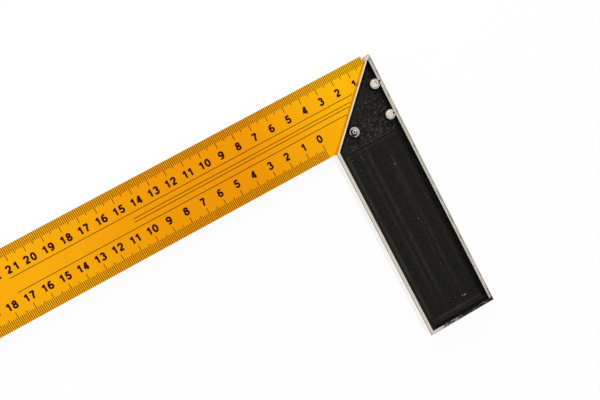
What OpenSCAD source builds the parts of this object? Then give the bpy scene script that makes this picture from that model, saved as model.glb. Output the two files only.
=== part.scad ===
// Try and mitre square: a printed steel blade riveted into the slot of a die-cast stock.
// It lies flat on its stock. The origin is the inside corner of the square, level with the
// surface it lies on: +X runs out along the blade's inner edge, +Y along the stock's inner face.

/* [Blade] */
// Length of the blade, from the zero of its outer scale to its far end
blade_l = 250; // [200:10:400]
// Width of the blade
blade_w = 40; // [38:1:44]
// Thickness of the blade
blade_t = 1.2; // [0.8:0.1:2]
// Distance of the blade's visible end from the stock's outer face
blade_setback = 3.2; // [2.6:0.1:4]

/* [Stock] */
// Length of the stock, from the tip of its mitre to its square end
stock_l = 151.5; // [120:0.5:200]
// Width of the stock, and so the length of its mitre along the blade
stock_w = 40; // [36:1:42]
// Thickness of the stock
stock_t = 14; // [12:0.5:20]
// Width of the ground rim along the long sides and the square end
rim_w = 1.9; // [1.6:0.1:3]
// Width of the ground rim along the mitre
mitre_rim_w = 0.9; // [0.7:0.1:1.6]
// Radius of the rounded tip
tip_r = 0.8; // [0.4:0.1:1]
// Bevel on the stock's outer edges
edge_bevel = 0.25; // [0.2:0.05:0.6]

/* [Pockets] */
// Depth of the pocket over the blade, below the rim
cheek_depth = 3.5; // [2.5:0.1:4]
// Depth of the long panel below the rim
panel_depth = 4; // [3:0.1:4.5]
// Distance of the panel's near end from the blade's inner edge
panel_start = 3.3; // [2:0.1:8]
// Radius of the fillet along the foot of each pocket wall
fillet_r = 2.5; // [1:0.1:3]

/* [Rivets] */
// Radius of a rivet's shank
shank_r = 1.6; // [1.2:0.1:1.8]
// Radius of the countersunk rivet end
rivet_end_r = 2.2; // [2:0.1:2.4]
// Depth of the countersink
rivet_end_h = 1; // [0.6:0.1:1.4]
// Radius of the cast boss around a rivet
boss_r = 2.65; // [2.6:0.05:3]
// Distance of the two outer rivets from the stock's outer face
outer_rivet_in = 4.4; // [4:0.1:6]
// Distance of the inner rivet from the stock's outer face
inner_rivet_in = 26; // [20:0.5:27]
// Distance of the rivet nearest the tip from the tip, along the stock
tip_row = 16.5; // [15:0.5:20]
// Distance of the second outer rivet from the tip, along the stock
outer_row = 34.5; // [32:0.5:35]
// Distance of the inner rivet from the tip, along the stock
inner_row = 33.7; // [32:0.1:35]

/* [Hidden] */
$fn = 64;

// The stock runs from its tip to its square end along Y
tip_y = -stock_w;
end_y = stock_l - stock_w;
outer_x = -stock_w;

// The visible end of the blade carries the zero of its outer scale
blade_end_x = outer_x + blade_setback;
blade_far_x = blade_end_x + blade_l;
// Metal left between the slot and the outer face
slot_wall = 1;
// Behind the mitre the blade steps out into a hidden tongue that fills the slot
tongue_x = outer_x + slot_wall;
tongue_cover = 0.8;
tongue_y = blade_end_x + tongue_cover;

// The mitre rim measured along Y
mitre_rim_y = mitre_rim_w * sqrt(2);
cheek_z = stock_t - cheek_depth;
panel_z = stock_t - panel_depth;
// Side of the square bar that cuts a bevel when it stands on its edge
bevel_side = edge_bevel * sqrt(2);

// Room between a rivet's shank and the holes it passes
shank_room = 0.05;
// Hollow in the clinched end of the inner rivet
clinch_r = 0.8;
clinch_h = 2.5;

// How far joined solids run into each other, and cuts past a face
bite = 0.5;
// A fillet stands this far off its wall and floor, so that its arc meets neither along a tangent
fillet_lip = 0.02;

// Outline of the stock with a sharp tip, counterclockwise from it
stock_corners = [[outer_x, tip_y], [0, 0], [0, end_y], [outer_x, end_y]];

// The round at the tip touches the outer face and the mitre, which meet at 45 degrees there
tip_angle = 45;
tip_bisector = 90 - tip_angle / 2;
tip_reach = tip_r / tan(tip_angle / 2);
tip_depth = tip_r / sin(tip_angle / 2);

// Pocket corners, counterclockwise from the tip, which is blunted by a short flat
pocket_left = outer_x + rim_w;
pocket_right = -rim_w;
pocket_end = end_y - rim_w;
pocket_tip = [pocket_left, pocket_left + mitre_rim_y];
pocket_blunt = 0.6;
pocket_corner = [pocket_right, pocket_right + mitre_rim_y];
panel_corners = [
    [pocket_left, panel_start],
    [pocket_right, panel_start],
    [pocket_right, pocket_end],
    [pocket_left, pocket_end]
];
cheek_corners = [
    pocket_tip + pocket_blunt * [cos(tip_angle), sin(tip_angle)],
    pocket_corner,
    panel_corners[1],
    panel_corners[0],
    pocket_tip + [0, pocket_blunt]
];

blade_outline = [
    [blade_end_x, -blade_w],
    [blade_far_x, -blade_w],
    [blade_far_x, 0],
    [tongue_x, 0],
    [tongue_x, tongue_y],
    [blade_end_x, tongue_y]
];

// Open end of the slot on the mitre, between the blade's end and the tip
mouth_corners = [
    [tongue_x, tongue_x - bite],
    [blade_end_x, blade_end_x - bite],
    [blade_end_x, tongue_y],
    [tongue_x, tongue_y]
];

rivet_tip_at = [outer_x + outer_rivet_in, tip_y + tip_row];
rivet_outer_at = [outer_x + outer_rivet_in, tip_y + outer_row];
rivet_inner_at = [outer_x + inner_rivet_in, tip_y + inner_row];
rivet_places = [rivet_tip_at, rivet_outer_at, rivet_inner_at];

// The same form on the upper and the lower face
module both_faces() {
    for (side = [0, 1])
        translate([0, 0, side * stock_t])
            mirror([0, 0, side])
                children();
}

// Outline of the stock, its tip rounded
module stock_outline() {
    tip = stock_corners[0];
    difference() {
        polygon(stock_corners);
        polygon([
            tip,
            tip + tip_reach * [cos(tip_angle), sin(tip_angle)],
            tip + [0, tip_reach]
        ]);
    }
    translate(tip + tip_depth * [cos(tip_bisector), sin(tip_bisector)])
        circle(tip_r);
}

// Flat-bottomed cut from floor_z up through the rim
module pocket(corners, floor_z) {
    translate([0, 0, floor_z])
        linear_extrude(stock_t - floor_z + bite)
            polygon(corners);
}

// Concave fillet along the foot of a wall that stands to the right of the line from p to q
module wall_fillet(p, q, floor_z) {
    run = q - p;
    translate([p.x, p.y, floor_z])
        rotate([0, 0, atan2(run.y, run.x)])
            rotate([90, 0, 90])
                translate([0, 0, -bite])
                    linear_extrude(norm(run) + 2 * bite)
                        difference() {
                            translate([-bite, -bite])
                                square(fillet_r + bite);
                            translate([fillet_r, fillet_r])
                                circle(fillet_r - fillet_lip);
                        }
}

module pocket_fillets() {
    intersection() {
        linear_extrude(stock_t)
            stock_outline();
        union() {
            for (i = [0, 1, 3])
                wall_fillet(cheek_corners[i], cheek_corners[i + 1], cheek_z);
            for (i = [1 : 3])
                wall_fillet(panel_corners[i], panel_corners[(i + 1) % 4], panel_z);
        }
    }
}

module rivet_bosses() {
    for (place = rivet_places)
        translate([place.x, place.y, cheek_z - bite])
            cylinder(r = boss_r, h = stock_t - cheek_z + bite);
}

// Bevels along the top edges of the outline
module edge_bevels() {
    for (i = [0 : 3]) {
        p = stock_corners[i];
        run = stock_corners[(i + 1) % 4] - p;
        translate([p.x, p.y, stock_t])
            rotate([0, 0, atan2(run.y, run.x)])
                translate([norm(run) / 2, 0, 0])
                    rotate([45, 0, 0])
                        cube([norm(run) + 4 * bite, bevel_side, bevel_side], center = true);
    }
}

// Flat form in the layer that the blade lies in
module blade_layer(corners) {
    translate([0, 0, (stock_t - blade_t) / 2])
        linear_extrude(blade_t)
            polygon(corners);
}

// Solid of revolution that fills a rivet hole, with room around the shank only
module rivet_form(place, room) {
    translate([place.x, place.y, 0])
        rotate_extrude()
            polygon([
                [0, 0],
                [rivet_end_r, 0],
                [shank_r + room, rivet_end_h],
                [shank_r + room, stock_t - rivet_end_h],
                [rivet_end_r, stock_t],
                [0, stock_t]
            ]);
}

module blade() {
    color("gold")
        difference() {
            blade_layer(blade_outline);
            for (place = rivet_places)
                translate([place.x, place.y, 0])
                    cylinder(r = shank_r + shank_room, h = stock_t);
        }
}

module stock() {
    color("dimgray")
        difference() {
            union() {
                difference() {
                    linear_extrude(stock_t)
                        stock_outline();
                    both_faces() {
                        pocket(cheek_corners, cheek_z);
                        pocket(panel_corners, panel_z);
                    }
                }
                both_faces() {
                    pocket_fillets();
                    rivet_bosses();
                }
            }
            both_faces()
                edge_bevels();
            blade_layer(blade_outline);
            blade_layer(mouth_corners);
            for (place = rivet_places)
                rivet_form(place, shank_room);
        }
}

module rivet_tip() {
    color("silver")
        rivet_form(rivet_tip_at, 0);
}

module rivet_outer() {
    color("silver")
        rivet_form(rivet_outer_at, 0);
}

// The inner rivet is semi-tubular: its clinched end shows a hollow
module rivet_inner() {
    color("silver")
        difference() {
            rivet_form(rivet_inner_at, 0);
            translate([rivet_inner_at.x, rivet_inner_at.y, stock_t - clinch_h])
                cylinder(r = clinch_r, h = clinch_h + bite);
        }
}

blade();
stock();
rivet_tip();
rivet_outer();
rivet_inner();
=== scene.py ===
"""Looks of a try and mitre square: a printed, lacquered blade in a painted stock with ground rims."""
import math

import bmesh
import bpy
from mathutils import Matrix, Vector, geometry, noise


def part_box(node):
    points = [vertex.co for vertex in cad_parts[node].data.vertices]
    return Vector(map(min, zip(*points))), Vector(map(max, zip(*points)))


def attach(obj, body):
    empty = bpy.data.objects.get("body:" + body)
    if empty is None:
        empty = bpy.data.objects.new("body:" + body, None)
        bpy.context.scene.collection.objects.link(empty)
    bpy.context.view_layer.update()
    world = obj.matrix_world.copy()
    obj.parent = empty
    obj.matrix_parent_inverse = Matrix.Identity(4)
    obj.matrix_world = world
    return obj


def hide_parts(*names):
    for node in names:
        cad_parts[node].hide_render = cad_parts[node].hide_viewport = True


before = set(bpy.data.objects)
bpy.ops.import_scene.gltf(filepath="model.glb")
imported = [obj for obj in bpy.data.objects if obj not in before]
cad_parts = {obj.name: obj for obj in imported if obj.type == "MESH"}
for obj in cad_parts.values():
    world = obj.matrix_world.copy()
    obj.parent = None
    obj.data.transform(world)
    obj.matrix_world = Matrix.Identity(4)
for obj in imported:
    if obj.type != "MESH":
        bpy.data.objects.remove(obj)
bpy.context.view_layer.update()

# Sizes in metres, in the part's own frame
MM = 0.001
CM = 10 * MM
DIAGONAL = math.sqrt(0.5)
stock_low, stock_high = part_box("stock")
blade_low, blade_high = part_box("blade")

# The stock's rims, pockets and bosses
RIM = 1.9 * MM
MITRE_RIM = 0.9 * MM
BEVEL = 0.25 * MM
CHEEK_DEPTH = 3.5 * MM
PANEL_DEPTH = 4 * MM
PANEL_START = 3.3 * MM
FILLET = 2.5 * MM
BOSS = 2.65 * MM
pocket_left = stock_low.x + RIM
pocket_right = stock_high.x - RIM
pocket_end = stock_high.y - RIM

# The printed scales. Places across the blade count from its outer edge.
BLADE_LENGTH = 250 * MM
BLADE_SETBACK = 3.2 * MM
OUTER_ZERO = blade_high.x - BLADE_LENGTH
INNER_ZERO = stock_high.x + BLADE_SETBACK
# Thickness of the ink above the lacquer and sunk into it, and width of its lines
INK = 0.03 * MM
INK_SUNK = INK / 2
LINE = 0.32 * MM
# Lengths of the millimetre, half-centimetre and centimetre marks
OUTER_MARKS = (4.5 * MM, 5.7 * MM, 7.5 * MM)
INNER_MARKS = (5 * MM, 6 * MM, 7.9 * MM)
OUTER_NUMBERS_AT = 9.4 * MM
INNER_NUMBERS_AT = 26.4 * MM
DIGIT_HEIGHT = 4.05 * MM
# Two digits stand this far apart, and two ones closer
DIGIT_PITCH = 3.75 * MM
ONES_PITCH = 3.15 * MM
# Width and stroke of a digit that is one unit high. Its arcs have steps and overlaps of these degrees.
DIGIT_WIDTH = 0.66
DIGIT_STROKE = 0.255
ARC_STEP = 15
ARC_OVERLAP = 5
# Two pairs of thin lines run along the blade: how far across they lie, and where they end
LONG_LINES = (
    (15.7 * MM, 177 * MM),
    (18.9 * MM, 108.7 * MM),
    (20.7 * MM, 108.7 * MM),
    (23.9 * MM, 177 * MM),
)

# The paint's skin on the pocket floors: its thickness, how far it stands above the floor, and how far
# its edges lie from the walls, tucked under the fillets, and from the step between the floors
SKIN = 0.3 * MM
SKIN_LIFT = 0.04 * MM
TUCKED = 1 * MM
STEP_GAP = SKIN / 3
# Cast pebbles: their size, height and steepness, and the size of the patches in which they are lower
PEBBLE = 0.72 * MM
PEBBLE_HEIGHT = 0.4 * MM
PEBBLE_FALL = 2.2
PEBBLE_PATCH = 1.8 * MM
# Part of a pebble's height above which its top gets a painted glint, less so this close to the tip, the
# bosses and the step; beside the bosses the missing glints are painted shade
PEBBLE_TOP = 0.5
TIP_FADE = 30.93 * MM
BOSS_SHADE = 1.2 * MM
STEP_FADE = 2 * MM
# Fine lines drawn along the panel
DRAWN_WIDTH = 0.7 * MM
DRAWN_LENGTH = 30 * MM
DRAWN_HEIGHT = 0.03 * MM
# Raised streaks, painted pale as lit ridges: their height, the length of their breaks, and the part of a
# streak that an end fades over
STREAK_HEIGHT = 0.06 * MM
STREAK_BREAK = 5 * MM
STREAK_FADE = 1 / 6
# The raised line along the feet of the fillets, painted as a highlight: its width and the length of its
# breaks
FOOT_WIDTH = 0.9 * MM
FOOT_BREAK = 9 * MM
# Middle value of what is uneven, and the most that it varies by
PEBBLES_UNEVEN = (0.8, 0.7)
STREAKS_UNEVEN = (0.6, 0.5)
FOOT_UNEVEN = (0.7, 0.6)
CHIPS_UNEVEN = (0.75, 0.5)
# Cells of the skins: on the cheek, and across and along on the panel
CHEEK_CELL = PEBBLE / 5
PANEL_CELL = (0.25 * MM, 0.9 * MM)
# How far the skin is painted pale: with glints painted on the pebbles' tops, rubbed all over the panel,
# with painted highlights on its streaks and along the feet of the panel's and the mitre's fillets
PEBBLE_GLINT = 3.6
PANEL_WEAR = 0.02
STREAK_HIGHLIGHT = 0.34
FOOT_HIGHLIGHT = 0.6
MITRE_FOOT_HIGHLIGHT = 0.22
# Painted light on the fillets: on the inner one from here on, and a painted highlight in a line along the end
# one
INNER_LIT_FROM = pocket_right - 2.7 * MM
INNER_LIT = 0.22
INNER_SOFT = 0.6 * MM
END_LINE = pocket_end - 1.35 * MM
END_LINE_WIDTH = 1.3 * MM
END_LINE_SOFT = 0.5 * MM
END_LINE_LIT = 0.2
# Painted highlights along the step between the two floors: how far past the step, and how pale
STEP_HIGHLIGHTS = ((-2.3 * MM, 0.05), (-0.4 * MM, 0.27), (1.2 * MM, 0.2))
STEP_WIDTH = 0.5 * MM
# Raised streaks on the panel, painted pale as lit ridges: across at the start and end, along at the start and
# end, width, strength
STREAKS = (
    (-16.0 * MM, -16.0 * MM, -10 * MM, 106 * MM, 0.9 * MM, 1.0),
    (-27.0 * MM, -26.8 * MM, 4 * MM, 106 * MM, 0.9 * MM, 0.7),
    (-12.0 * MM, -12.2 * MM, -10 * MM, 104 * MM, 0.8 * MM, 0.7),
    (-34.0 * MM, -34.0 * MM, 4 * MM, 100 * MM, 0.9 * MM, 0.5),
    (-24.0 * MM, -23.6 * MM, 10 * MM, 104 * MM, 0.6 * MM, 0.4),
    (-26.6 * MM, -25.0 * MM, 7 * MM, 52 * MM, 0.3 * MM, 0.8),
    (-25.5 * MM, -24.4 * MM, 18 * MM, 69 * MM, 0.3 * MM, 0.8),
)
# Places where the panel's paint is chipped to the metal, and the sizes of the chips
CHIPS = (
    (-26.3 * MM, 19.1 * MM, 0.27 * MM),
    (-27.0 * MM, 20.2 * MM, 0.1 * MM),
    (-24.2 * MM, 51.9 * MM, 0.25 * MM),
    (-26.4 * MM, 50.1 * MM, 0.11 * MM),
    (-27.6 * MM, 60.1 * MM, 0.11 * MM),
    (-34.0 * MM, 44.2 * MM, 0.12 * MM),
    (-23.6 * MM, 80.0 * MM, 0.1 * MM),
    (-8.6 * MM, 13.8 * MM, 0.11 * MM),
    (-6.7 * MM, 6.7 * MM, 0.12 * MM),
    (-11.5 * MM, 7.5 * MM, 0.16 * MM),
    (-12.3 * MM, 9.1 * MM, 0.1 * MM),
    (-22.3 * MM, 101.0 * MM, 0.14 * MM),
    (-26.4 * MM, 102.0 * MM, 0.38 * MM),
    (-27.7 * MM, 102.1 * MM, 0.42 * MM),
    (-28.9 * MM, 102.2 * MM, 0.2 * MM),
)
CHIP_THICKNESS = 0.12 * MM
CHIP_LIFT = 0.03 * MM
# Degrees between a chip's corners
CHIP_TURN = 45
# Pits in the upper rims, bosses and rivet ends, filled with paint: their places and sizes
PITS = (
    (-38.4 * MM, -36.3 * MM, 0.35 * MM),
    (-38.4 * MM, -23.8 * MM, 0.8 * MM),
    (-36.2 * MM, -24.6 * MM, 0.45 * MM),
    (-36.6 * MM, -23.5 * MM, 0.4 * MM),
    (-37.8 * MM, -22.7 * MM, 0.6 * MM),
    (-37.6 * MM, -5.4 * MM, 0.75 * MM),
    (-34.0 * MM, -5.2 * MM, 0.3 * MM),
    (-36.4 * MM, -4.0 * MM, 0.3 * MM),
    (-12.2 * MM, -6.4 * MM, 0.5 * MM),
    (-12.4 * MM, -4.6 * MM, 0.8 * MM),
    (-11.7 * MM, -5.4 * MM, 0.6 * MM),
    (-13.4 * MM, -4.6 * MM, 0.45 * MM),
    (-14.3 * MM, -4.8 * MM, 0.3 * MM),
    (-12.4 * MM, -7.9 * MM, 0.45 * MM),
    (-38.7 * MM, 89.2 * MM, 0.45 * MM),
    (-39.5 * MM, 104.4 * MM, 0.5 * MM),
    (-39.5 * MM, 107.1 * MM, 0.6 * MM),
    (-39.4 * MM, 109.3 * MM, 0.6 * MM),
)
# Part of a pit's radius within which it is filled to the full
PIT_CORE = 0.6

# The rivets' shanks, and the profiles of their upper ends: radius, depth below the rim, and darkening, which
# is grime in the hollows and painted shade
SHANK = 1.6 * MM
RIVET_END = 2.2 * MM
COUNTERSINK = 1 * MM
LATHE_SIDES = 48
FLUSH_END = (
    (0, 0.02 * MM, 0),
    (1.4 * MM, 0.01 * MM, 0),
    (1.85 * MM, 0, 0),
    (2.05 * MM, 0.05 * MM, 0.3),
    (2.15 * MM, 0.2 * MM, 1),
)
CLINCHED_END = (
    (0, 1.2 * MM, 3),
    (0.45 * MM, 1.1 * MM, 3),
    (0.55 * MM, 0.25 * MM, 2),
    (0.7 * MM, 0.05 * MM, 0.2),
    (1.0 * MM, 0.06 * MM, 0.2),
    (1.1 * MM, 0.3 * MM, 3),
    (1.65 * MM, 0.3 * MM, 3),
    (1.8 * MM, 0.06 * MM, 1.2),
    (2.05 * MM, 0.02 * MM, 1.2),
    (2.17 * MM, 0.15 * MM, 1.6),
)
RIVETS = {"rivet_tip": FLUSH_END, "rivet_outer": FLUSH_END, "rivet_inner": CLINCHED_END}
rivet_axes = {node: sum(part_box(node), Vector()) / 2 for node in RIVETS}
# Side of a rivet on which its darkening lies as painted shade, the size of its patches, and how much they
# vary
SHADED_SIDE = math.radians(25)
DARK_PATCH = 1.4 * MM
DARK_SPREAD = 0.4

# Colours of the coats, as linear red, green and blue
LACQUER_LIGHT = (0.87, 0.385, 0.001)
# Painted light: a paler tone near the stock. Painted shade: a deeper tone along the middle of the blade.
LACQUER_LIT = (0.90, 0.45, 0.001)
LACQUER_SHADED = (0.785, 0.285, 0.0)
LACQUER_RUBBED = (0.90, 0.43, 0.01)
INK_FULL = (0.028, 0.002, 0.0005)
INK_THIN = (0.050, 0.005, 0.001)
PAINT_FULL = (0.0015, 0.0014, 0.0008)
PAINT_THIN = (0.0118, 0.0109, 0.0072)
# Rubbed paint, also the colour of the painted highlights on the skins and of the painted light on the fillets
PAINT_WORN_AND_LIT = (0.063, 0.057, 0.041)
# Dark paint and grime, also used for painted shade on one side of the rivets' ends
GRIME_AND_SHADE = (0.012, 0.011, 0.010)
# Dark and pale tones of the ground metal, and a matt one along the mitre's rim
RIM_TONES = ((0.64, 0.59, 0.51), (0.96, 0.89, 0.79))
# The mitre wall's tones are darker and warmer than the rims': painted shade at the foot of the wall over the
# blade, along with its own dirty tone
MITRE_TONES = ((0.55, 0.44, 0.24), (0.70, 0.57, 0.33))
MATT_MITRE = (1.0, 0.84, 0.57)
INNER_TONES = ((0.82, 0.765, 0.68), (0.99, 0.92, 0.83))
SIDE_TONES = ((0.50, 0.465, 0.41), (0.76, 0.715, 0.64))
BEVEL_TONES = ((0.14, 0.128, 0.11), (0.30, 0.275, 0.24))
RIVET_TONES = ((0.70, 0.645, 0.57), (0.97, 0.91, 0.83))
# The belt's marks run nearly along the mitre on the rims, and level on the walls
RIM_MARKS = (6 * MM, 0.22 * MM, 0.22 * MM)
RIM_MARKS_TURN = math.radians(-42)
WALL_MARKS = (12 * MM, 12 * MM, 0.22 * MM)
BELT_DEPTH = 0.006 * MM
# Sizes of the grains in the other patterns, and depths of their bumps
LACQUER_CLOUDS = (40 * MM, 25 * MM, 25 * MM)
LACQUER_RUBS = (30 * MM, 0.25 * MM, 1 * MM)
LACQUER_PEEL = (0.9 * MM, 0.9 * MM, 0.9 * MM)
PEEL_DEPTH = 0.004 * MM
INK_GRAIN = (0.3 * MM, 0.3 * MM, 0.3 * MM)
METAL_CLOUDS = (3 * MM, 3 * MM, 3 * MM)
RIM_DASHES = (0.35 * MM, 4 * MM, 4 * MM)
END_STREAKS = (3 * MM, 0.4 * MM, 0.4 * MM)
PAINT_GRAIN = (0.9 * MM, 0.9 * MM, 0.9 * MM)
PAINT_DEPTH = 0.04 * MM
# Stretches along the blade where the lacquer turns from painted light to its light tone, to painted shade and
# to its light tone again
LIT_END = (-20 * MM, 0)
SHADE_GROWS = (0, 38 * MM)
SHADE_FADES = (85 * MM, 165 * MM)
# The stretches below go from one place to another, and most of them from one strength to another.
# Across the rims they turn pale, and away from the mitre its matt tone gives out.
RIM_PALES = (-12 * MM, -8 * MM, 0, 0.9)
MITRE_MATT = (MITRE_RIM, MITRE_RIM + 0.3 * MM, 0.7, 0)
# Across the outer rim its dashes of paint give out
DASHES_FADE = (stock_low.x + 0.7 * MM, stock_low.x + 1.3 * MM, 1, 0.2)
# Along the end rim the paint gets thinner and gives out, and across it the paint begins and ends
END_THINS = (-29 * MM, -12 * MM, -0.08, 0.04)
END_FADES = (-9 * MM, -5 * MM, 1, 0)
END_FROM = (pocket_end - 0.3 * MM, pocket_end - 0.1 * MM)
END_TO = (stock_high.y - 0.5 * MM, stock_high.y - 0.1 * MM, 1, 0)
# Most of a noise pattern lies between these values
NOISE_LOW, NOISE_HIGH = 0.3, 0.7
# Stretches of a noise pattern that show, and how strongly: rubs, clouds, dashes, streaks and thin paint
RUBS_SHOW = (0.66, 0.75, 0, 0.2)
CLOUDS_SHOW = (0.55, 0.8, 0, 0.5)
DASHES_SHOW = (0.45, 0.6, 0, 0.8)
STREAKS_SHOW = (0.55, 0.6, 1, 0)
THIN_SHOWS = (0.35, 0.7)

# Where the picture is taken from. Its upward side points along a heading on the table.
CAMERA_PLACE = Vector((58.63, -27.93, 350.89)) * MM
CAMERA_AIM = Vector((27.85, 12.02, 7.6)) * MM
PICTURE_UP = math.radians(-118.32)
LENS = 39
SENSOR = 36

# The studio: a white table, white walls up to a low height and a darker ceiling
WHITE = (1, 1, 1, 1)
TABLE_COLOUR = (0.9, 0.9, 0.9, 1)
TABLE_GLOW = 0.94
TABLE_HALF = 4.0
WALL_TOP, CEILING_FOOT = 0.05, 0.15
WALL_LIGHT, CEILING_LIGHT = 1.0, 0.65
LAMP_SIZE = 0.3
# Where each lamp stands, where it points, and its power
KEY_LAMP = ((-0.05, -0.45, 0.30), (0, 0, 0), 1.7)
FILL_LAMP = ((0.40, -0.25, 0.35), (0.12, -0.02, 0), 0.6)

# Least part of a face's normal along an axis: for a face square to the axis, and for a slanted one
STRAIGHT = 0.9
SLANTED = 0.3
# A difference in height that counts as none
HAIR = 0.1 * BEVEL


def link(thing):
    """Puts a new thing into the scene."""
    bpy.context.scene.collection.objects.link(thing)
    return thing


def make_camera():
    """The camera of the picture."""
    data = bpy.data.cameras.new("camera")
    data.lens = LENS
    data.sensor_width = SENSOR
    camera = link(bpy.data.objects.new("camera", data))
    forward = (CAMERA_AIM - CAMERA_PLACE).normalized()
    heading = Vector((math.cos(PICTURE_UP), math.sin(PICTURE_UP), 0))
    right = forward.cross(heading).normalized()
    axes = Matrix((right, right.cross(forward), -forward)).transposed()
    camera.matrix_world = Matrix.Translation(CAMERA_PLACE) @ axes.to_4x4()
    bpy.context.scene.camera = camera


class Nodes:
    """Short ways to add and link the nodes of a tree."""

    def __init__(self, tree):
        self.tree = tree

    def set(self, socket, value):
        """Sets an input to a plain value, or links it to another node's output."""
        if isinstance(value, bpy.types.NodeSocket):
            self.tree.links.new(value, socket)
        else:
            socket.default_value = value

    def fill(self, node, sockets):
        """Sets inputs of a node by their names."""
        for name, value in sockets.items():
            self.set(node.inputs[name], value)

    def add(self, kind, sockets=None, **settings):
        """A new node with its inputs and settings."""
        node = self.tree.nodes.new(kind)
        for name, value in settings.items():
            setattr(node, name, value)
        self.fill(node, sockets or {})
        return node

    def math(self, operation, result, *others):
        """The operation on the first value and each of the others in turn."""
        for value in others:
            node = self.add("ShaderNodeMath", operation=operation)
            self.set(node.inputs[0], result)
            self.set(node.inputs[1], value)
            result = node.outputs["Value"]
        return result

    def spread(self, value, low, high, to_low=0.0, to_high=1.0):
        """The value's stretch from low to high, drawn out from to_low to to_high."""
        sockets = {"Value": value, "From Min": low, "From Max": high, "To Min": to_low, "To Max": to_high}
        return self.add("ShaderNodeMapRange", sockets).outputs["Result"]


class Surface(Nodes):
    """A material around one Principled shader, patterned in the part's own coordinates."""

    def __init__(self, name, sockets):
        self.material = bpy.data.materials.new(name)
        self.material.use_nodes = True
        super().__init__(self.material.node_tree)
        self.shader = self.tree.nodes["Principled BSDF"]
        self.place = self.add("ShaderNodeTexCoord").outputs["Object"]
        self.fill(self.shader, sockets)

    def along(self, axis):
        """The place along one axis, in metres."""
        return self.add("ShaderNodeSeparateXYZ", {"Vector": self.place}).outputs[axis]

    def attribute(self, name):
        """A value kept on the mesh, or 0 on a mesh without it."""
        return self.add("ShaderNodeAttribute", attribute_name=name).outputs["Fac"]

    def noise(self, sizes, detail=2.0, turn=0.0):
        """Noise whose grains have these sizes along axes that are turned about Z."""
        axes = {"Vector": self.place, "Angle": turn}
        turned = self.add("ShaderNodeVectorRotate", axes, rotation_type="Z_AXIS").outputs["Vector"]
        scale = [1 / size for size in sizes]
        grains = self.add("ShaderNodeMapping", {"Vector": turned, "Scale": scale}).outputs["Vector"]
        return self.add("ShaderNodeTexNoise", {"Vector": grains, "Scale": 1, "Detail": detail}).outputs["Fac"]

    def vary(self, pattern, low=0.0, high=1.0):
        """A noise pattern drawn out from low to high."""
        return self.spread(pattern, NOISE_LOW, NOISE_HIGH, low, high)

    def spot(self, place, radius):
        """1 in the core of a round spot, falling to 0 at its edge."""
        apart = self.add("ShaderNodeVectorMath", operation="DISTANCE")
        self.set(apart.inputs[0], self.place)
        self.set(apart.inputs[1], place)
        return self.spread(apart.outputs["Value"], radius, PIT_CORE * radius)

    def blend(self, share, first, second):
        """A colour between two colours."""
        node = self.add("ShaderNodeMix", data_type="RGBA")
        ends = {"Factor_Float": share, "A_Color": first, "B_Color": second}
        for socket in node.inputs:
            if socket.identifier in ends:
                value = ends[socket.identifier]
                self.set(socket, (*value, 1) if isinstance(value, tuple) else value)
        return next(out for out in node.outputs if out.identifier == "Result_Color")

    def so_far(self, name):
        """What a socket of the shader is linked to."""
        return self.shader.inputs[name].links[0].from_socket

    def tint(self, share, colour):
        """Lays a share of another colour over the colour so far."""
        self.fill(self.shader, {"Base Color": self.blend(share, self.so_far("Base Color"), colour)})

    def bump(self, pattern, depth):
        """Makes the surface uneven by a pattern."""
        sockets = {"Height": pattern, "Distance": depth, "Strength": 1}
        self.fill(self.shader, {"Normal": self.add("ShaderNodeBump", sockets).outputs["Normal"]})


def lacquer():
    """Satin yellow lacquer with faint rubbed lines, with painted shade deepening its tone along the middle of
    the blade and painted light making it paler near the stock.
    """
    made = Surface("blade_lacquer", {"Specular IOR Level": 0.05})
    x = made.along("X")
    clouds = made.vary(made.noise(LACQUER_CLOUDS), 0.85, 1)
    # Painted shade deepens the tone along the middle of the blade
    shade = made.math("MULTIPLY", made.spread(x, *SHADE_GROWS), made.spread(x, *SHADE_FADES, 1, 0), clouds)
    rubbed = made.noise(LACQUER_RUBS, detail=3)
    made.fill(made.shader, {
        "Base Color": made.blend(shade, LACQUER_LIGHT, LACQUER_SHADED),
        "Roughness": made.vary(rubbed, 0.38, 0.5),
    })
    # Painted light makes the tone paler near the stock
    made.tint(made.spread(x, *LIT_END, 1, 0), LACQUER_LIT)
    made.tint(made.spread(rubbed, *RUBS_SHOW), LACQUER_RUBBED)
    made.bump(made.noise(LACQUER_PEEL), PEEL_DEPTH)
    return made.material


def ink():
    """Dark printed ink, a little thin in places."""
    made = Surface("scale_ink", {"Specular IOR Level": 0.02})
    grain = made.noise(INK_GRAIN)
    made.fill(made.shader, {
        "Base Color": made.blend(made.vary(grain), INK_FULL, INK_THIN),
        "Roughness": made.vary(grain, 0.5, 0.65),
    })
    return made.material


def ground_metal(name, tones, roughness, marks, turn=0.0):
    """Bare cast metal, streaked between two tones by the belt that it was ground on, and clouded."""
    dark, pale = tones
    made = Surface(name, {"Metallic": 1, "Specular IOR Level": 0.1})
    belt = made.noise(marks, detail=3, turn=turn)
    clouds = made.noise(METAL_CLOUDS)
    made.fill(made.shader, {
        "Base Color": made.blend(made.vary(belt), dark, pale),
        "Roughness": made.vary(belt, *roughness),
    })
    made.tint(made.spread(clouds, *CLOUDS_SHOW), dark)
    made.bump(belt, BELT_DEPTH)
    return made


def pitted(made):
    """How far paint in the pits, and grime with painted shade kept on the mesh, cover the metal."""
    share = made.attribute("grime_and_shade")
    for x, y, radius in PITS:
        share = made.math("MAXIMUM", share, made.spot((x, y, stock_high.z), radius))
    return share


def dashed(made):
    """Dashes of paint along the outer rim, most of all on its outer edge."""
    dashes = made.spread(made.noise(RIM_DASHES), *DASHES_SHOW)
    return made.math("MULTIPLY", dashes, made.spread(made.along("X"), *DASHES_FADE))


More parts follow.
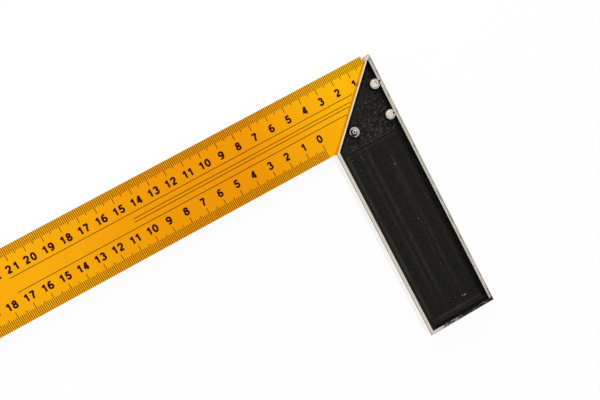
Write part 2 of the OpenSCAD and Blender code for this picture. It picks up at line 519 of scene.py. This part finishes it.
def painted_end(made):
    """Streaks of paint on the rim of the square end, thicker towards the outer side."""
    x, y = made.along("X"), made.along("Y")
    streaks = made.noise(END_STREAKS, detail=4)
    return made.math(
        "MULTIPLY",
        made.spread(made.math("ADD", streaks, made.spread(x, *END_THINS)), *STREAKS_SHOW),
        made.spread(x, *END_FADES),
        made.spread(y, *END_FROM),
        made.spread(y, *END_TO),
    )


def coat(made, share):
    """Covers a share of the metal with dark paint, which on the rivets also stands for grime and painted
    shade.
    """
    made.tint(share, GRIME_AND_SHADE)
    made.fill(made.shader, {"Metallic": made.spread(share, 0, 1, 1, 0)})


def rim_metal():
    """The rims: paler towards the inner side, matt along the mitre, with paint left on them."""
    made = ground_metal("rim_metal", RIM_TONES, roughness=(0.30, 0.42), marks=RIM_MARKS, turn=RIM_MARKS_TURN)
    x, y = made.along("X"), made.along("Y")
    _, pale = RIM_TONES
    made.tint(made.spread(x, *RIM_PALES), pale)
    from_mitre = made.math("MULTIPLY", made.math("SUBTRACT", y, x), DIAGONAL)
    matt = made.spread(from_mitre, *MITRE_MATT)
    made.tint(matt, MATT_MITRE)
    made.fill(made.shader, {"Roughness": made.math("MAXIMUM", made.so_far("Roughness"), matt)})
    coat(made, made.math("MAXIMUM", pitted(made), dashed(made), painted_end(made)))
    return made.material


def pitted_metal(name, tones, roughness):
    """Ground metal with paint in its pits."""
    made = ground_metal(name, tones, roughness, RIM_MARKS, RIM_MARKS_TURN)
    coat(made, pitted(made))
    return made.material


def wall_metal(name, tones, roughness):
    """Ground metal of an outer wall."""
    return ground_metal(name, tones, roughness, WALL_MARKS).material


def skin_wear(made):
    """How far the skin on the floors is painted pale, as kept on its mesh: rubbed lines and painted
    highlights.
    """
    return made.attribute("worn_and_lit")


def wall_wear(made):
    """Painted light on the fillets: along the inner wall, and a painted highlight in a line along the square
    end.
    """
    x, y = made.along("X"), made.along("Y")
    start, end = END_LINE - END_LINE_WIDTH / 2, END_LINE + END_LINE_WIDTH / 2
    # Painted light on the inner fillet, and a painted highlight along the end one
    inner = made.spread(x, INNER_LIT_FROM, INNER_LIT_FROM + INNER_SOFT, 0, INNER_LIT)
    line = made.math(
        "MULTIPLY",
        made.spread(y, start, start + END_LINE_SOFT, 0, END_LINE_LIT),
        made.spread(y, end - END_LINE_SOFT, end, 1, 0),
    )
    return made.math("MAXIMUM", inner, line)


def black_paint(name, paleness, shine, roughness):
    """Black paint over a cast surface, paler where it is rubbed and where light and highlights are painted on
    it.
    """
    made = Surface(name, {"Specular IOR Level": shine})
    grain = made.noise(PAINT_GRAIN, detail=3)
    made.fill(made.shader, {
        "Base Color": made.blend(made.spread(grain, *THIN_SHOWS), PAINT_FULL, PAINT_THIN),
        "Roughness": made.vary(grain, *roughness),
    })
    made.tint(paleness(made), PAINT_WORN_AND_LIT)
    made.bump(grain, PAINT_DEPTH)
    return made.material


def outline_distance(x, y):
    """How far a place lies inside the stock's outline."""
    return min(x - stock_low.x, stock_high.x - x, stock_high.y - y, (y - x) * DIAGONAL)


def side_distance(x):
    """How far a place lies from the nearer long wall of the pockets."""
    return min(x - pocket_left, pocket_right - x)


def mitre_distance(x, y):
    """How far a place lies from the pocket wall along the mitre."""
    return (y - x) * DIAGONAL - MITRE_RIM


def boss_distance(x, y):
    """How far a place lies from the nearest boss."""
    return min(math.hypot(x - axis.x, y - axis.y) for axis in rivet_axes.values()) - BOSS


def fillet_rise(across):
    """Height of a fillet above the floor, this far from its wall."""
    inside = min(FILLET, max(0, FILLET - across))
    return FILLET - math.sqrt(FILLET ** 2 - inside ** 2)


def below_rim(face):
    """How far a face lies below the nearer rims."""
    return min(face.center.z - stock_low.z, stock_high.z - face.center.z)


def on_outline(face):
    """True for the outer walls of the stock and their bevels."""
    return outline_distance(face.center.x, face.center.y) < MITRE_RIM / 2


def rim_face(face):
    """True for the ground rims of the stock."""
    return abs(face.normal.z) > STRAIGHT and below_rim(face) < HAIR


def mitre_face(face):
    """True for the mitre's wall and its bevels."""
    return on_outline(face) and face.normal.x > SLANTED and face.normal.y < -SLANTED


def bevel_face(face):
    """True for the bevels along the outer edges of the rims."""
    return SLANTED < abs(face.normal.z) < STRAIGHT and below_rim(face) < BEVEL + HAIR


def inner_face(face):
    """True for the wall that the work is held against."""
    return on_outline(face) and face.normal.x > STRAIGHT


def side_face(face):
    """True for the outer walls of the stock."""
    return on_outline(face) and abs(face.normal.z) < SLANTED


def dress(node, *materials):
    """Gives a node these materials in place of its own."""
    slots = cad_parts[node].data.materials
    slots.clear()
    for material in materials:
        slots.append(material)


def dress_stock(paint, ground):
    """Paints the stock, and gives the faces that pass a test their ground metal."""
    dress("stock", paint, *ground.values())
    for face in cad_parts["stock"].data.polygons:
        face.material_index = next((i for i, test in enumerate(ground, 1) if test(face)), 0)


def add_piece(name, form, material):
    """A new piece of the object from a finished form."""
    mesh = bpy.data.meshes.new(name)
    form.to_mesh(mesh)
    mesh.materials.append(material)
    piece = link(bpy.data.objects.new(name, mesh))
    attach(piece, "root")
    return piece


def rectangle(x0, x1, y0, y1):
    """Points and face of a rectangle."""
    return [(x0, y0), (x1, y0), (x1, y1), (x0, y1)], [(0, 1, 2, 3)]


def mark_length(step, lengths):
    """Length of the mark that stands this many millimetres from the zero."""
    if step % 10 == 0:
        return lengths[2]
    return lengths[1] if step % 5 == 0 else lengths[0]


def scale_marks(zero, edge, inward, lengths):
    """The marks of a scale, from its zero to the blade's far end."""
    marks = []
    for step in range(round((blade_high.x - zero) / MM) + 1):
        x = zero + step * MM
        left = max(x - LINE / 2, OUTER_ZERO)
        right = min(x + LINE / 2, blade_high.x)
        far = edge + inward * mark_length(step, lengths)
        marks.append(rectangle(left, right, min(edge, far), max(edge, far)))
    return marks


def long_lines():
    """The thin lines along the middle of the blade."""
    lines = []
    for across, end in LONG_LINES:
        y = blade_low.y + across
        lines.append(rectangle(stock_low.x, end, y - LINE / 2, y + LINE / 2))
    return lines


def arc(x, y, across, up, start, end):
    """Points along an elliptical arc, between two angles in degrees."""
    count = round(abs(end - start) / ARC_STEP)
    angles = [math.radians(start + (end - start) * i / count) for i in range(count + 1)]
    return [(x + across * math.cos(a), y + up * math.sin(a)) for a in angles]


def ring(x, y, across, up):
    """Two arcs that close a ring."""
    halves = ((0, 180), (180, 360))
    return [arc(x, y, across, up, start - ARC_OVERLAP, end + ARC_OVERLAP) for start, end in halves]


def band(path):
    """Outline of a stroke along a path, with square ends."""
    left, right = [], []
    for i, point in enumerate(path):
        before = Vector(path[max(i - 1, 0)])
        after = Vector(path[min(i + 1, len(path) - 1)])
        side = (after - before).normalized().orthogonal() * DIGIT_STROKE / 2
        left.append(Vector(point) + side)
        right.append(Vector(point) - side)
    return right + left[::-1]


def digit_strokes():
    """Centre lines of the ten digits, in a box one unit high."""
    five = [
        [(0.13, 0.925), (0.60, 0.925)],
        [(0.19, 0.95), (0.13, 0.46)],
        arc(0.32, 0.325, 0.25, 0.25, 140, -160),
    ]
    six = ring(0.33, 0.315, 0.25, 0.24) + [arc(0.40, 0.46, 0.32, 0.465, 185, 62)]
    nine = [[(DIGIT_WIDTH - x, 1 - y) for x, y in path] for path in six]
    return [
        ring(0.33, 0.5, 0.25, 0.425),
        [[(0.49, 0), (0.49, 1)], [(0.49, 0.91), (0.37, 0.78), (0.19, 0.72)]],
        [arc(0.33, 0.69, 0.245, 0.235, 175, -35) + [(0.12, 0.10)], [(0.05, 0.075), (0.62, 0.075)]],
        [arc(0.32, 0.735, 0.215, 0.19, 165, -95), arc(0.32, 0.305, 0.25, 0.235, 95, -165)],
        [[(0.46, 0), (0.46, 1)], [(0.42, 0.95), (0.09, 0.32)], [(0.02, 0.28), (0.64, 0.28)]],
        five,
        six,
        [[(0.04, 0.925), (0.62, 0.925)], [(0.58, 0.92), (0.37, 0.5), (0.27, 0)]],
        ring(0.33, 0.735, 0.20, 0.19) + ring(0.33, 0.295, 0.245, 0.22),
        nine,
    ]


def unite(outlines):
    """Points and faces of the area that overlapping outlines cover together."""
    points = [point for outline in outlines for point in outline]
    loops, first = [], 0
    for outline in outlines:
        loops.append(list(range(first, first + len(outline))))
        first += len(outline)
    only_inside, tolerance = 1, 1e-5
    corners, _, faces, _, _, sources = geometry.delaunay_2d_cdt(points, [], loops, only_inside, tolerance)
    return corners, [face for face, source in zip(faces, sources) if source]


def scale_numbers(digits, zero, values, across):
    """Numbers centred on their marks, read with the outer edge uppermost."""
    shapes = []
    foot = blade_low.y + across + DIGIT_HEIGHT
    for value in values:
        text = str(value)
        pitch = ONES_PITCH if text == "11" else DIGIT_PITCH
        centre = zero + value * CM
        for i, letter in enumerate(text):
            points, faces = digits[int(letter)]
            shift = pitch * (i - (len(text) - 1) / 2)
            placed = []
            for point in points:
                x = centre - shift - (point.x - DIGIT_WIDTH / 2) * DIGIT_HEIGHT
                placed.append((x, foot - point.y * DIGIT_HEIGHT))
            shapes.append((placed, faces))
    return shapes


def print_on_blade(name, shapes, material):
    """A printed layer: flat shapes cut off just short of the mitre and raised by the ink's thickness."""
    layer = bmesh.new()
    for points, faces in shapes:
        corners = [layer.verts.new((x, y, blade_high.z + INK)) for x, y in points]
        for face in faces:
            layer.faces.new([corners[i] for i in face])
    everything = layer.verts[:] + layer.edges[:] + layer.faces[:]
    bmesh.ops.bisect_plane(
        layer, geom=everything, plane_co=(LINE, 0, 0), plane_no=(-1, 1, 0), clear_outer=True)
    bmesh.ops.solidify(layer, geom=layer.faces[:], thickness=INK + INK_SUNK)
    add_piece(name, layer, material)
    layer.free()


def print_scales(material):
    """Both scales with their numbers, up to the last whole centimetre before the blade's far end."""
    digits = [unite([band(path) for path in strokes]) for strokes in digit_strokes()]
    last_outer = round((blade_high.x - OUTER_ZERO) / CM)
    last_inner = round((blade_high.x - INNER_ZERO) / CM)
    layers = {
        "outer_scale_marks": scale_marks(OUTER_ZERO, blade_low.y, 1, OUTER_MARKS),
        "inner_scale_marks": scale_marks(INNER_ZERO, blade_high.y, -1, INNER_MARKS),
        "scale_lines": long_lines(),
        "outer_scale_numbers": scale_numbers(digits, OUTER_ZERO, range(1, last_outer), OUTER_NUMBERS_AT),
        "inner_scale_numbers": scale_numbers(digits, INNER_ZERO, range(last_inner), INNER_NUMBERS_AT),
    }
    for name, shapes in layers.items():
        print_on_blade(name, shapes, material)


def steps(low, high, size):
    """Evenly spaced values from low to high, about this far apart."""
    count = round((high - low) / size)
    return [low + (high - low) * i / count for i in range(count + 1)]


def close_below(form, underside):
    """Closes an open form with a wall down from its edges and a flat underside."""
    edges = [edge for edge in form.edges if edge.is_boundary]
    wall = bmesh.ops.extrude_edge_only(form, edges=edges)["geom"]
    for vert in wall:
        if isinstance(vert, bmesh.types.BMVert):
            vert.co.z = underside
    foot = [edge for edge in wall if isinstance(edge, bmesh.types.BMEdge) and edge.is_boundary]
    bmesh.ops.triangle_fill(form, edges=foot, use_beauty=True)
    bmesh.ops.recalc_face_normals(form, faces=form.faces[:])


def skin_of(xs, ys, floor, covers, height, worn_and_lit):
    """A closed skin on a floor, of the grid cells whose middles it covers."""
    form = bmesh.new()
    # The skin keeps how pale it is painted: rubbed lines and painted highlights
    rubbed = form.verts.layers.float.new("worn_and_lit")
    corners = {}
    for i in range(len(xs) - 1):
        for j in range(len(ys) - 1):
            if not covers((xs[i] + xs[i + 1]) / 2, (ys[j] + ys[j + 1]) / 2):
                continue
            around = ((i, j), (i + 1, j), (i + 1, j + 1), (i, j + 1))
            for key in around:
                if key not in corners:
                    x, y = xs[key[0]], ys[key[1]]
                    corners[key] = form.verts.new((x, y, floor + height(x, y)))
                    corners[key][rubbed] = worn_and_lit(x, y)
            form.faces.new([corners[key] for key in around]).smooth = True
    close_below(form, floor - SKIN)
    return form


def on_both_faces(name, form, material):
    """Two pieces of one form: as made on the upper face, and mirrored on the lower one."""
    add_piece(name + "_upper", form, material)
    mirror = Matrix.Translation((0, 0, stock_low.z + stock_high.z)) @ Matrix.Diagonal((1, 1, -1, 1))
    bmesh.ops.transform(form, matrix=mirror, verts=form.verts[:])
    bmesh.ops.reverse_faces(form, faces=form.faces[:])
    add_piece(name + "_lower", form, material)
    form.free()


def bell(distance, width):
    """1 at no distance, falling off evenly on both sides."""
    return math.exp(-(distance / width) ** 2)


def uneven(middle, spread, place):
    """A value that varies about its middle from place to place."""
    return middle + spread * noise.noise(Vector(place))


def step_line_at(y):
    """The painted highlights along the step between the two floors."""
    return sum(pale * bell(y - PANEL_START - past, STEP_WIDTH) for past, pale in STEP_HIGHLIGHTS)


def pebble_at(x, y):
    """Height of the cast pebbles, from 0 to about 1, lower in some patches than in others."""
    place = Vector((x, y, 0))
    near = noise.voronoi(place / PEBBLE)[0][0]
    dome = max(0, 1 - PEBBLE_FALL * near * near)
    return dome * max(0, uneven(*PEBBLES_UNEVEN, place / PEBBLE_PATCH))


def cheek_height(x, y):
    """Pebbles on the floor and on the mitre's fillet, sunk in at the skin's edge along the mitre."""
    to_mitre = mitre_distance(x, y)
    run_out = min(1, (PANEL_START - y) / PEBBLE)
    proud = SKIN_LIFT + PEBBLE_HEIGHT * pebble_at(x, y) * run_out
    sunk = SKIN * max(0, 1 - (to_mitre - TUCKED / 2) / PEBBLE)
    return fillet_rise(to_mitre) + proud - sunk


def cheek_worn(x, y):
    """Painted glints on the pebbles' tops, fewer towards the tip and at the step and held back as painted
    shade beside the bosses, with painted highlights at the mitre's fillet foot and the step.
    """
    by_tip = (y - stock_low.y) / TIP_FADE
    by_boss = max(0, boss_distance(x, y)) / BOSS_SHADE
    by_step = (PANEL_START - y) / STEP_FADE
    # Painted glints on the pebbles' tops, held back as painted shade beside the bosses
    tops = PEBBLE_GLINT * min(1, by_tip, by_boss, by_step) * max(0, pebble_at(x, y) - PEBBLE_TOP)
    # Painted highlights along the foot of the mitre's fillet and along the step
    return tops + MITRE_FOOT_HIGHLIGHT * bell(mitre_distance(x, y) - FILLET, FOOT_WIDTH) + step_line_at(y)


def cheek_skin(paint):
    """Rough cast surface of the pocket over the blade, round the bosses."""
    def covers(x, y):
        clear = boss_distance(x, y) > -SKIN
        return clear and side_distance(x) > TUCKED and mitre_distance(x, y) > TUCKED / 2

    xs = steps(pocket_left, pocket_right, CHEEK_CELL)
    ys = steps(stock_low.y, PANEL_START - STEP_GAP, CHEEK_CELL)
    floor = stock_high.z - CHEEK_DEPTH
    skin = skin_of(xs, ys, floor, covers, cheek_height, cheek_worn)
    on_both_faces("cheek_skin", skin, paint)


def streak_at(x, y):
    """How strongly a raised streak, painted pale as a lit ridge, stands at a place."""
    strongest = 0
    for x0, x1, y0, y1, width, strength in STREAKS:
        share = (y - y0) / (y1 - y0)
        if 0 < share < 1:
            broken = uneven(*STREAKS_UNEVEN, (x0 / MM, y / STREAK_BREAK, 0))
            ends = min(1, share / STREAK_FADE, (1 - share) / STREAK_FADE)
            across = bell(x - x0 - (x1 - x0) * share, width)
            strongest = max(strongest, strength * broken * ends * across)
    return strongest


def drawn_at(x, y):
    """Fine lines along the panel, from -1 to 1."""
    return noise.noise(Vector((x / DRAWN_WIDTH, y / DRAWN_LENGTH, 0)))


def foot_line_at(x, y):
    """The raised line along the foot of the inner and the end fillet, broken here and there, painted as a
    highlight.
    """
    across = min(pocket_right - x, pocket_end - y) - FILLET - FOOT_WIDTH / 2
    broken = uneven(*FOOT_UNEVEN, Vector((x, y, 0)) / FOOT_BREAK)
    return max(0, broken) * bell(across, FOOT_WIDTH)


def panel_height(x, y):
    """Height of the panel's skin above its floor."""
    raised = max(streak_at(x, y), foot_line_at(x, y))
    return SKIN_LIFT + DRAWN_HEIGHT * (1 + drawn_at(x, y)) + STREAK_HEIGHT * raised


def panel_worn(x, y):
    """How far the panel's skin is painted pale: rubbed along its drawn lines, with painted highlights on its
    streaks, along the fillets' feet and at the step.
    """
    lines = PANEL_WEAR * (1 + drawn_at(x, y)) + step_line_at(y)
    # Painted highlights on the streaks and along the fillets' feet
    return lines + STREAK_HIGHLIGHT * streak_at(x, y) + FOOT_HIGHLIGHT * foot_line_at(x, y)


def panel_skin(paint):
    """Floor of the long pocket, drawn and rubbed along its length."""
    def covers(x, y):
        return min(side_distance(x), pocket_end - y) > TUCKED

    cell_across, cell_along = PANEL_CELL
    xs = steps(pocket_left, pocket_right, cell_across)
    ys = steps(PANEL_START + STEP_GAP, pocket_end, cell_along)
    floor = stock_high.z - PANEL_DEPTH
    skin = skin_of(xs, ys, floor, covers, panel_height, panel_worn)
    on_both_faces("panel_skin", skin, paint)


def paint_chips(metal):
    """Small bright chips in the panel's paint."""
    form = bmesh.new()
    for x, y, size in CHIPS:
        top = stock_high.z - PANEL_DEPTH + panel_height(x, y) + CHIP_LIFT
        corners = []
        for turn in range(0, 360, CHIP_TURN):
            reach = size * uneven(*CHIPS_UNEVEN, (x / MM, y / MM, turn))
            angle = math.radians(turn)
            corners.append(form.verts.new((x + reach * math.cos(angle), y + reach * math.sin(angle), top)))
        form.faces.new(corners)
    form.normal_update()
    bmesh.ops.solidify(form, geom=form.faces[:], thickness=CHIP_THICKNESS)
    add_piece("paint_chips", form, metal)
    form.free()


def turn_rivet(node, profile, metal):
    """A rivet turned from its profile of radii, heights and darkening by grime and painted shade, in place of
    the plain one.
    """
    axis = rivet_axes[node]
    form = bmesh.new()
    grime_and_shade = form.verts.layers.float.new("grime_and_shade")
    rounds = []
    for radius, z, darkness in profile:
        circle = []
        for i in range(LATHE_SIDES if radius else 1):
            angle = math.tau * i / LATHE_SIDES
            vert = form.verts.new((axis.x + radius * math.cos(angle), axis.y + radius * math.sin(angle), z))
            # Painted shade: the darkening lies mostly on one side of each rivet
            on_side = (1 + math.cos(angle - SHADED_SIDE)) / 2
            vert[grime_and_shade] = min(1, max(0, darkness * uneven(on_side, DARK_SPREAD, vert.co / DARK_PATCH)))
            circle.append(vert)
        rounds.append(circle)
    for upper, lower in zip(rounds, rounds[1:]):
        for i in range(LATHE_SIDES):
            around = [upper[i % len(upper)], lower[i % len(lower)]]
            if len(lower) > 1:
                around.append(lower[(i + 1) % LATHE_SIDES])
            if len(upper) > 1:
                around.append(upper[(i + 1) % LATHE_SIDES])
            form.faces.new(around).smooth = True
    piece = add_piece(node + "_turned", form, metal)
    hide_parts(node)
    form.free()


def make_rivets(metal):
    """The three rivets, each with its own upper end over a plain shank and lower end."""
    top, foot = stock_high.z, stock_low.z
    shank = [(SHANK, top - COUNTERSINK, 0), (SHANK, foot + COUNTERSINK, 0)]
    lower_end = [(RIVET_END, foot, 0), (0, foot, 0)]
    for node, end in RIVETS.items():
        upper_end = [(radius, top - depth, darkness) for radius, depth, darkness in end]
        turn_rivet(node, upper_end + shank + lower_end, metal)


def make_table():
    """A white table top that the picture sees at full white, and that still takes the object's shadow."""
    material = bpy.data.materials.new("table")
    material.use_nodes = True
    made = Nodes(material.node_tree)
    made.tree.nodes.clear()
    rays = made.add("ShaderNodeLightPath").outputs
    seen = made.math("MAXIMUM", rays["Is Camera Ray"], rays["Is Glossy Ray"], rays["Is Transmission Ray"])
    mix = made.add("ShaderNodeMixShader", {"Fac": made.math("MULTIPLY", seen, TABLE_GLOW)})
    made.set(mix.inputs[1], made.add("ShaderNodeBsdfDiffuse", {"Color": TABLE_COLOUR}).outputs["BSDF"])
    made.set(mix.inputs[2], made.add("ShaderNodeEmission", {"Color": WHITE}).outputs["Emission"])
    made.add("ShaderNodeOutputMaterial", {"Surface": mix.outputs["Shader"]})
    mesh = bpy.data.meshes.new("table")
    corners, faces = rectangle(-TABLE_HALF, TABLE_HALF, -TABLE_HALF, TABLE_HALF)
    mesh.from_pydata([(x, y, 0) for x, y in corners], [], faces)
    mesh.materials.append(material)
    link(bpy.data.objects.new("table", mesh))


def make_world():
    """White surroundings under a darker ceiling."""
    world = bpy.data.worlds.new("studio")
    bpy.context.scene.world = world
    world.use_nodes = True
    made = Nodes(world.node_tree)
    direction = made.add("ShaderNodeTexCoord").outputs["Generated"]
    height = made.add("ShaderNodeSeparateXYZ", {"Vector": direction}).outputs["Z"]
    level = made.spread(height, WALL_TOP, CEILING_FOOT, WALL_LIGHT, CEILING_LIGHT)
    made.fill(made.tree.nodes["Background"], {"Color": WHITE, "Strength": level})


def softbox(name, place, aim, power):
    """A square area lamp."""
    data = bpy.data.lights.new(name, "AREA")
    data.shape = "SQUARE"
    data.size = LAMP_SIZE
    data.energy = power
    lamp = link(bpy.data.objects.new(name, data))
    lamp.location = place
    lamp.rotation_euler = (Vector(aim) - Vector(place)).to_track_quat("-Z", "Y").to_euler()


make_camera()
paint = black_paint("stock_paint", skin_wear, shine=0.14, roughness=(0.36, 0.5))
walls = black_paint("wall_paint", wall_wear, shine=0.05, roughness=(0.6, 0.75))
rims = rim_metal()
dress("blade", lacquer())
dress_stock(walls, {
    rim_face: rims,
    mitre_face: wall_metal("mitre_metal", MITRE_TONES, roughness=(0.26, 0.34)),
    bevel_face: pitted_metal("bevel_metal", BEVEL_TONES, roughness=(0.4, 0.5)),
    inner_face: wall_metal("inner_metal", INNER_TONES, roughness=(0.08, 0.15)),
    side_face: wall_metal("side_metal", SIDE_TONES, roughness=(0.25, 0.4)),
})
make_rivets(pitted_metal("rivet_metal", RIVET_TONES, roughness=(0.5, 0.62)))
print_scales(ink())
cheek_skin(paint)
panel_skin(paint)
paint_chips(rims)
make_table()
make_world()
softbox("key", *KEY_LAMP)
softbox("fill", *FILL_LAMP)

bpy.context.scene.view_settings.view_transform = "Standard"
